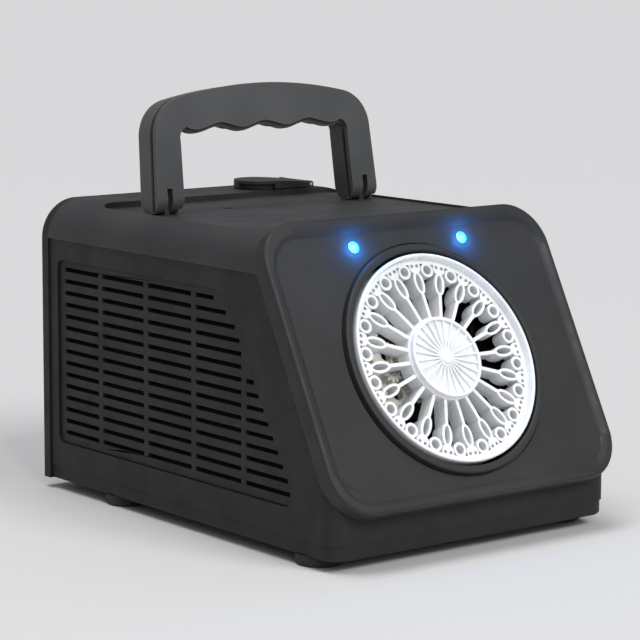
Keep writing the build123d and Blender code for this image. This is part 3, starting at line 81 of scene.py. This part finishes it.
class Recipe:
    """A material's node tree, with short calls for the nodes that the finishes share."""

    def __init__(self, name):
        self.material = bpy.data.materials.new(name)
        self.material.use_nodes = True
        self.tree = self.material.node_tree
        self.shader = self.tree.nodes["Principled BSDF"]
        place = self.tree.nodes.new("ShaderNodeTexCoord")
        self.place = place.outputs["Object"]

    def node(self, kind, **settings):
        made = self.tree.nodes.new(kind)
        for key, value in settings.items():
            setattr(made, key, value)
        return made

    def link(self, source, target):
        self.tree.links.new(source, target)

    def feed(self, target, value):
        """Sets an input from a number, a colour or another node's output."""
        if isinstance(value, bpy.types.NodeSocket):
            self.link(value, target)
        else:
            target.default_value = value

    def noise(self, size_mm, detail=3.0, stretch=(1, 1, 1), roughness=0.5):
        """Noise whose features are about size_mm across."""
        mapping = self.node("ShaderNodeMapping")
        mapping.inputs["Scale"].default_value = stretch
        self.link(self.place, mapping.inputs["Vector"])
        texture = self.node("ShaderNodeTexNoise")
        texture.inputs["Scale"].default_value = 1.0 / (size_mm * MM)
        texture.inputs["Detail"].default_value = detail
        texture.inputs["Roughness"].default_value = roughness
        self.link(mapping.outputs["Vector"], texture.inputs["Vector"])
        return texture.outputs["Fac"]

    def cells(self, size_mm):
        """Rounded cells about size_mm across."""
        texture = self.node("ShaderNodeTexVoronoi", feature="F1")
        texture.inputs["Scale"].default_value = 1.0 / (size_mm * MM)
        self.link(self.place, texture.inputs["Vector"])
        return texture.outputs["Distance"]

    def span(self, value, low, high, start=0.35, end=0.65):
        """Carries a value from start..end to low..high."""
        ramp = self.node("ShaderNodeMapRange")
        ramp.inputs["From Min"].default_value = start
        ramp.inputs["From Max"].default_value = end
        ramp.inputs["To Min"].default_value = low
        ramp.inputs["To Max"].default_value = high
        self.link(value, ramp.inputs["Value"])
        return ramp.outputs["Result"]

    def mix(self, share, first, second):
        """A colour between two colours."""
        blend = self.node("ShaderNodeMix", data_type="RGBA")
        self.feed(blend.inputs["Factor"], share)
        self.feed(blend.inputs[6], first)
        self.feed(blend.inputs[7], second)
        return blend.outputs[2]

    def sum(self, first, second, share=1.0):
        """The first value plus a share of the second."""
        total = self.node("ShaderNodeMath", operation="MULTIPLY_ADD")
        self.feed(total.inputs[0], second)
        self.feed(total.inputs[1], share)
        self.feed(total.inputs[2], first)
        return total.outputs[0]

    def bump(self, height, depth_mm, strength):
        """A surface relief depth_mm deep."""
        node = self.node("ShaderNodeBump")
        node.inputs["Strength"].default_value = strength
        node.inputs["Distance"].default_value = depth_mm * MM
        self.link(height, node.inputs["Height"])
        return node.outputs["Normal"]

    def edge(self, radius_mm, low, high):
        """Rises from low to high where the surface turns sharply."""
        rounded = self.node("ShaderNodeBevel", samples=4)
        rounded.inputs["Radius"].default_value = radius_mm * MM
        geometry = self.node("ShaderNodeNewGeometry")
        facing = self.node("ShaderNodeVectorMath", operation="DOT_PRODUCT")
        self.link(rounded.outputs["Normal"], facing.inputs[0])
        self.link(geometry.outputs["Normal"], facing.inputs[1])
        return self.span(facing.outputs["Value"], high, low, 0.75, 0.98)

    def finish(self, colour, roughness, normal=None, **others):
        """Feeds the shader and hands back the material."""
        self.feed(self.shader.inputs["Base Color"], colour)
        self.feed(self.shader.inputs["Roughness"], roughness)
        if normal is not None:
            self.link(normal, self.shader.inputs["Normal"])
        for key, value in others.items():
            self.feed(self.shader.inputs[key.replace("_", " ")], value)
        return self.material


def grey(level, warmth=0.0):
    """A grey, or a slightly bluish one when the warmth is below zero."""
    return (level * (1 + warmth), level, level * (1 - warmth), 1.0)


# ---- finishes ----

def spark_plastic(name, level, grain_mm, roughness, painted_highlight_gain=1.6):
    """Moulded charcoal plastic with a fine spark-eroded grain and a painted highlight that lightens its edges."""
    recipe = Recipe(name)
    patches = recipe.span(recipe.noise(38.0, detail=2.0), 0.0, 1.0)
    body = recipe.mix(patches, grey(level * 0.88, -0.03), grey(level * 1.12, -0.02))
    # painted highlight: a bevel-based mask mixes the sharp edges towards a paler grey, standing in for light
    # catching them
    painted_edge_highlight = recipe.edge(radius_mm=0.8, low=0.0, high=0.55)
    colour = recipe.mix(painted_edge_highlight, body, grey(level * painted_highlight_gain, -0.02))
    grain = recipe.noise(grain_mm, detail=4.0, roughness=0.65)
    pits = recipe.cells(grain_mm * 1.7)
    height = recipe.sum(grain, pits, share=0.6)
    normal = recipe.bump(height, depth_mm=0.05, strength=0.55)
    sheen = recipe.span(recipe.noise(11.0), roughness - 0.05, roughness + 0.06)
    return recipe.finish(colour, sheen, normal, Specular_IOR_Level=0.30)


def white_plastic(name):
    """Semi-gloss white moulding with faint flow marks."""
    recipe = Recipe(name)
    flow = recipe.span(recipe.noise(9.0, detail=2.0), 0.0, 1.0)
    colour = recipe.mix(flow, (0.80, 0.82, 0.84, 1), (0.88, 0.89, 0.90, 1))
    normal = recipe.bump(recipe.noise(2.2, detail=2.0), depth_mm=0.02, strength=0.25)
    sheen = recipe.span(recipe.noise(4.0), 0.20, 0.32)
    return recipe.finish(
        colour, sheen, normal,
        Subsurface_Weight=0.12, Subsurface_Scale=0.002, Coat_Weight=0.15, Coat_Roughness=0.12,
    )


def gear_plastic(name):
    """Natural cream gear plastic."""
    recipe = Recipe(name)
    colour = recipe.mix(recipe.noise(5.0), (0.74, 0.72, 0.64, 1), (0.84, 0.82, 0.75, 1))
    normal = recipe.bump(recipe.noise(0.8), depth_mm=0.02, strength=0.4)
    sheen = recipe.span(recipe.noise(3.0), 0.34, 0.46)
    return recipe.finish(colour, sheen, normal, Subsurface_Weight=0.1, Subsurface_Scale=0.001)


def rubber(name):
    """Matt rubber with a fine crumb and a dusty bloom."""
    recipe = Recipe(name)
    bloom = recipe.span(recipe.noise(7.0, detail=5.0), 0.0, 0.5)
    colour = recipe.mix(bloom, grey(0.014), grey(0.036))
    height = recipe.sum(recipe.noise(0.5, detail=5.0), recipe.cells(0.9), share=0.5)
    normal = recipe.bump(height, depth_mm=0.06, strength=0.8)
    sheen = recipe.span(recipe.noise(3.0), 0.72, 0.88)
    return recipe.finish(colour, sheen, normal)


def metal(name, colour, roughness, stretch=(1, 1, 30), brush_mm=2.0):
    """Metal with drawn brush lines and a little variation in its polish."""
    recipe = Recipe(name)
    lines = recipe.noise(brush_mm, detail=4.0, stretch=stretch)
    dark = tuple(channel * 0.78 for channel in colour) + (1.0,)
    tint = recipe.mix(recipe.span(lines, 0.0, 1.0), dark, tuple(colour) + (1.0,))
    sheen = recipe.span(lines, roughness - 0.06, roughness + 0.10)
    normal = recipe.bump(lines, depth_mm=0.01, strength=0.35)
    return recipe.finish(tint, sheen, normal, Metallic=1.0)


def clear_vinyl(name):
    """Milky clear hose, slightly wavy."""
    recipe = Recipe(name)
    colour = recipe.mix(recipe.noise(12.0), (0.72, 0.78, 0.80, 1), (0.84, 0.88, 0.88, 1))
    normal = recipe.bump(recipe.noise(3.0), depth_mm=0.05, strength=0.3)
    return recipe.finish(colour, 0.16, normal, Transmission_Weight=0.75, IOR=1.5)


def lit_lens(name):
    """A lit lens, light blue at its crown and a deeper blue towards its edge."""
    recipe = Recipe(name)
    facing = recipe.node("ShaderNodeLayerWeight")
    facing.inputs["Blend"].default_value = 0.35
    rim = recipe.span(facing.outputs["Facing"], 0.0, 1.0, start=0.02, end=0.30)
    glow = recipe.mix(rim, (0.32, 0.72, 1.0, 1), (0.03, 0.28, 0.9, 1))
    ripple = recipe.bump(recipe.cells(1.1), depth_mm=0.05, strength=0.4)
    sheen = recipe.span(recipe.noise(1.5), 0.08, 0.2)
    return recipe.finish(
        (0.05, 0.25, 0.9, 1), sheen, ripple, Emission_Color=glow, Emission_Strength=1.0,
    )


def chip(name):
    """The glowing chip inside a lamp."""
    recipe = Recipe(name)
    colour = recipe.mix(recipe.noise(0.8), (0.10, 0.35, 0.9, 1), (0.2, 0.5, 1.0, 1))
    return recipe.finish(
        colour, 0.3, Emission_Color=(0.1, 0.4, 1.0, 1), Emission_Strength=3.0,
    )


def circuit_board(name):
    """Green solder mask over level and upright copper tracks."""
    recipe = Recipe(name)
    tracks = recipe.node("ShaderNodeTexBrick", offset=0.5, squash=0.6)
    tracks.inputs["Scale"].default_value = 160.0
    tracks.inputs["Mortar Size"].default_value = 0.06
    tracks.inputs["Color1"].default_value = (0.010, 0.10, 0.035, 1)
    tracks.inputs["Color2"].default_value = (0.014, 0.13, 0.045, 1)
    tracks.inputs["Mortar"].default_value = (0.03, 0.26, 0.09, 1)
    recipe.link(recipe.place, tracks.inputs["Vector"])
    normal = recipe.bump(tracks.outputs["Fac"], depth_mm=0.03, strength=0.5)
    sheen = recipe.span(recipe.noise(4.0), 0.25, 0.4)
    return recipe.finish(tracks.outputs["Color"], sheen, normal)


def cell_wrap(name):
    """Plain slate shrink wrap, a little uneven in tone and surface."""
    recipe = Recipe(name)
    patches = recipe.span(recipe.noise(30.0), 0.0, 1.0)
    colour = recipe.mix(patches, (0.10, 0.11, 0.13, 1), (0.2, 0.21, 0.24, 1))
    normal = recipe.bump(recipe.noise(6.0), depth_mm=0.08, strength=0.3)
    sheen = recipe.span(recipe.noise(2.0), 0.2, 0.32)
    return recipe.finish(colour, sheen, normal, Metallic=0.5)


def polished_plastic(name, level):
    """Glossy dark plastic with faint handling haze."""
    recipe = Recipe(name)
    colour = recipe.mix(recipe.noise(15.0), grey(level * 0.9), grey(level * 1.15))
    normal = recipe.bump(recipe.noise(1.5, detail=4.0), depth_mm=0.01, strength=0.3)
    sheen = recipe.span(recipe.noise(5.0, detail=4.0), 0.16, 0.28)
    return recipe.finish(colour, sheen, normal)


def cable_jacket(name):
    """Soft black cable insulation."""
    recipe = Recipe(name)
    colour = recipe.mix(recipe.noise(20.0), (0.012, 0.012, 0.013, 1), (0.022, 0.022, 0.024, 1))
    normal = recipe.bump(recipe.noise(1.0), depth_mm=0.03, strength=0.3)
    sheen = recipe.span(recipe.noise(2.0), 0.4, 0.52)
    return recipe.finish(colour, sheen, normal)


# The plastics take their grey level, grain in mm, roughness and the gain of their painted edge highlight; the
# metals take their colour, roughness, brush direction and brush width in mm.
FINISHES = {
    "case_plastic": spark_plastic("case_plastic", 0.013, 0.45, 0.56),
    # painted light: top_plastic is a paler copy of the case plastic, standing in for light falling on the top
    "top_plastic": spark_plastic("top_plastic", 0.034, 0.45, 0.56, 1.9),
    "panel_plastic": spark_plastic("panel_plastic", 0.024, 0.40, 0.50, 2.6),
    "handle_plastic": spark_plastic("handle_plastic", 0.072, 0.45, 0.52, 2.2),
    "white_plastic": white_plastic("white_plastic"),
    "rubber": rubber("rubber"),
    "gear_plastic": gear_plastic("gear_plastic"),
    "steel": metal("steel", (0.62, 0.62, 0.63), 0.24),
    "brass": metal("brass", (0.72, 0.53, 0.26), 0.26),
    "motor_can": metal("motor_can", (0.55, 0.56, 0.57), 0.34, (1, 1, 6), 1.2),
    "screw_steel": metal("screw_steel", (0.22, 0.22, 0.23), 0.36, (1, 1, 1), 0.6),
    "inner_plastic": spark_plastic("inner_plastic", 0.006, 0.7, 0.62, 1.2),
    "hose_vinyl": clear_vinyl("hose_vinyl"),
    "led_lens": lit_lens("led_lens"),
    "led_chip": chip("led_chip"),
    "circuit_board": circuit_board("circuit_board"),
    "cell_wrap": cell_wrap("cell_wrap"),
    "switch_plastic": polished_plastic("switch_plastic", 0.018),
    "cable": cable_jacket("cable"),
}


# ---- carried-over CAD nodes ----

LIT_TOP_PIECES = ("top_shell", "filler_lid")    # painted a shade paler than the walls, as painted light from above

# How far the edges of the pieces that show are rounded, in mm.
ROUNDED = {
    "top_shell": 0.45, "side_housing": 0.45, "base_tray": 0.5, "rear_cover": 0.4, "front_panel": 0.4,
    "wheel_collar": 0.3, "side_grille_left": 0.3, "side_grille_right": 0.3, "handle_front": 1.3,
    "handle_rear": 1.3, "filler_lid": 0.5, "battery_door": 0.35, "switch_frame": 0.25,
    "power_rocker": 0.4, "power_socket": 0.35, "bubble_wheel": 0.35, "wheel_hub_cap": 0.25,
    "drain_plug": 0.3, "rubber_feet": 0.3,
}


def soften(piece, radius_mm):
    """Joins the split faces and rounds the sharp edges, without touching the CAD mesh itself."""
    if "custom_normal" in piece.data.attributes:
        piece.data.attributes.remove(piece.data.attributes["custom_normal"])
    for face in piece.data.polygons:
        face.use_smooth = True
    weld = piece.modifiers.new("weld", "WELD")
    weld.merge_threshold = WELD_GAP
    bevel = piece.modifiers.new("rounded edges", "BEVEL")
    bevel.width = radius_mm * MM
    bevel.segments = BEVEL_STEPS
    bevel.limit_method = "ANGLE"
    bevel.angle_limit = SHARP_ANGLE
    bevel.harden_normals = True
    bevel.miter_outer = "MITER_ARC"


for name, piece in nodes.items():
    piece.data.materials.clear()
    # painted light: the top pieces take the paler top_plastic instead of their own slot, as painted light from
    # above
    finish = "top_plastic" if name in LIT_TOP_PIECES else slots[name]
    piece.data.materials.append(FINISHES[finish])
    if name in ROUNDED:
        soften(piece, ROUNDED[name])


# ---- stage, light and camera ----

def floor_paint():
    """Matt paint, very slightly uneven."""
    recipe = Recipe("floor_paint")
    darker = tuple(channel * 0.985 for channel in FLOOR_TONE) + (1.0,)
    tint = recipe.mix(recipe.noise(400.0), darker, FLOOR_TONE + (1.0,))
    return recipe.finish(tint, 0.8)


def floor():
    """A plain floor that runs to the horizon, where it meets a sky of the same tone."""
    mesh = bmesh.new()
    turns = ((-1, -1), (1, -1), (1, 1), (-1, 1))
    corners = [mesh.verts.new((x * FLOOR_HALF, y * FLOOR_HALF, 0)) for x, y in turns]
    mesh.faces.new(corners)
    data = bpy.data.meshes.new("floor")
    mesh.to_mesh(data)
    mesh.free()
    sheet = bpy.data.objects.new("floor", data)
    sheet.location = (0, 0, -FLOOR_DROP)
    bpy.context.scene.collection.objects.link(sheet)
    sheet.data.materials.append(floor_paint())


def aim(thing, target):
    """Turns a light so that it shines at a point."""
    thing.rotation_euler = (Vector(target) - thing.location).to_track_quat("-Z", "Y").to_euler()


def area_light(name, place, target, size, power):
    """A rectangular light of a given width and height, aimed at a point."""
    lamp = bpy.data.lights.new(name, "AREA")
    lamp.shape = "RECTANGLE"
    lamp.size, lamp.size_y = size
    lamp.energy = power
    light = bpy.data.objects.new(name, lamp)
    light.location = place
    aim(light, target)
    bpy.context.scene.collection.objects.link(light)


def soft_sun(name, toward, power, spread):
    """Even light from far away, whose shadows blur over a spread in degrees."""
    lamp = bpy.data.lights.new(name, "SUN")
    lamp.energy = power
    lamp.angle = math.radians(spread)
    light = bpy.data.objects.new(name, lamp)
    light.location = toward
    aim(light, (0, 0, 0))
    bpy.context.scene.collection.objects.link(light)


def studio_lights():
    """A front sun, a narrow strip that picks out the edges, and a sun from above."""
    middle = (cad_low + cad_high) / 2
    soft_sun("key", toward=(0.30, -1.2, 1.1), power=1.5, spread=25)
    area_light("edge_strip", (-0.55, -1.2, 0.75), middle, size=(0.16, 0.9), power=4.0)
    soft_sun("top", toward=(-0.25, 0.1, 1.3), power=1.6, spread=30)


def studio_world():
    """A dim bluish fill on the machine, and a plain pale sky where the camera sees past it."""
    world = bpy.data.worlds.new("studio")
    world.use_nodes = True
    tree = world.node_tree
    fill = tree.nodes["Background"]
    fill.inputs["Color"].default_value = FILL_TINT
    fill.inputs["Strength"].default_value = FILL_STRENGTH
    seen = tree.nodes.new("ShaderNodeBackground")
    seen.inputs["Color"].default_value = SKY_TONE
    path = tree.nodes.new("ShaderNodeLightPath")
    choice = tree.nodes.new("ShaderNodeMixShader")
    tree.links.new(path.outputs["Is Camera Ray"], choice.inputs[0])
    tree.links.new(fill.outputs["Background"], choice.inputs[1])
    tree.links.new(seen.outputs["Background"], choice.inputs[2])
    tree.links.new(choice.outputs["Shader"], tree.nodes["World Output"].inputs["Surface"])
    bpy.context.scene.world = world
    bpy.context.scene.view_settings.view_transform = "Standard"


def lamp_glow():
    """A small blue light just in front of each lens, which tints the panel round it."""
    outward = Vector(joints["wheel_spin"]["axis"]).normalized()
    low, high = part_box("led_lenses")
    middle = (low + high) / 2
    reach = (high.x - low.x) / 2 - LENS_FLANGE
    for index, side in enumerate((-1, 1)):
        lamp = bpy.data.lights.new(f"glow_{index}", "POINT")
        lamp.energy = GLOW_POWER
        lamp.color = GLOW_BLUE
        lamp.shadow_soft_size = GLOW_RADIUS
        light = bpy.data.objects.new(f"glow_{index}", lamp)
        light.location = Vector((side * reach, middle.y, middle.z)) + outward * GLOW_AHEAD
        light.visible_glossy = False
        bpy.context.scene.collection.objects.link(light)


def place_camera():
    """The viewpoint: 37 degrees round to the machine's left and 9 degrees above it."""
    camera = bpy.data.cameras.new("camera")
    camera.lens = CAMERA_LENS
    camera.shift_x = CAMERA_SHIFT
    camera.sensor_width = CAMERA_SENSOR
    camera.clip_start = CAMERA_NEAR
    camera.clip_end = CAMERA_FAR
    holder = bpy.data.objects.new("camera", camera)
    holder.location = CAMERA_PLACE
    holder.rotation_euler = (CAMERA_PITCH, 0, CAMERA_YAW)
    bpy.context.scene.collection.objects.link(holder)
    bpy.context.scene.camera = holder


floor()
studio_lights()
studio_world()
lamp_glow()
place_camera()

bpy.context.view_layer.update()
